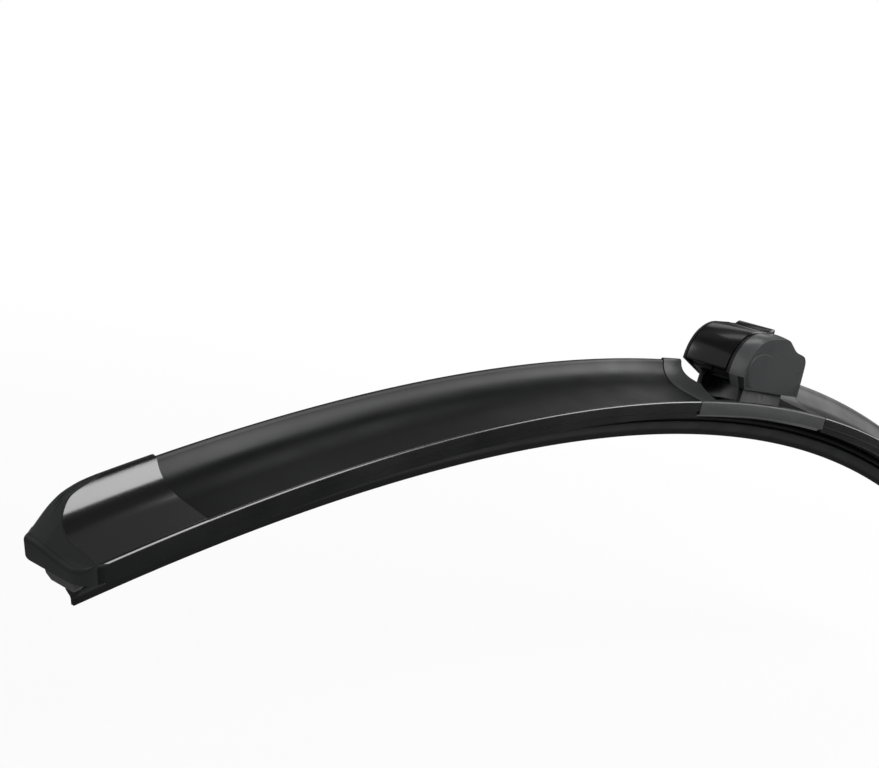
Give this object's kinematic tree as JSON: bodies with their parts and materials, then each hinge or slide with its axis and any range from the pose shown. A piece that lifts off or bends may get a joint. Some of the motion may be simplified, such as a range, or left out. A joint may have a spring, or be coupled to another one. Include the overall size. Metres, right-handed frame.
{
  "type": "wiper blade",
  "caption": "Flat beam windscreen wiper blade: bowed hollow spoiler, end caps, centre housing and a rocking arm adaptor with a gloss hinged cover.",
  "frame": {"origin": "on the axis of the pivot pin, midway between the carrier's ears, where the wiper arm holds the blade", "axes": "+X along the blade towards the side the arm comes from, +Y towards the rear side of the spoiler, +Z away from the glass"},
  "size_m": [0.4366, 0.0194, 0.07],
  "materials": {
    "elastomer": "soft black elastomer with a fine matt coat on the wiping lip",
    "spring_steel": "cold rolled spring steel",
    "spoiler_tpe": "extruded satin black",
    "cap_plastic": "moulded black, polished saddle and matt nose",
    "stop_plastic": "moulded dark grey",
    "housing_plastic": "moulded satin charcoal",
    "carrier_steel": "stamped sheet steel, painted",
    "zinc_steel": "zinc plated",
    "bush_plastic": "natural acetal",
    "adaptor_plastic": "moulded matt charcoal",
    "cover_plastic": "polished black"
  },
  "bodies": {
    "adaptor": {"adaptor_body": "adaptor_plastic", "cover_pin": "zinc_steel"},
    "blade": {"wiper_rubber": "elastomer", "rail_front": "spring_steel", "rail_rear": "spring_steel", "spoiler_left": "spoiler_tpe", "spoiler_right": "spoiler_tpe", "end_cap_left": "cap_plastic", "end_cap_right": "cap_plastic", "rubber_stop_left": "stop_plastic", "rubber_stop_right": "stop_plastic", "housing": "housing_plastic", "carrier": "carrier_steel", "rail_rivets": "zinc_steel", "pivot_pin": "zinc_steel", "pivot_bush": "bush_plastic"},
    "cover": {"lock_cover": "cover_plastic"}
  },
  "joints": [
    {"name": "blade_rock", "type": "hinge", "parent": "adaptor", "child": "blade", "pos_m": [0, 0, 0], "axis": [0, 1, 0], "range_deg": [-4, 10]},
    {"name": "cover_lift", "type": "hinge", "parent": "adaptor", "child": "cover", "pos_m": [-0.0094, 0, 0.0027], "axis": [0, -1, 0], "range_deg": [0, 60]}
  ]
}
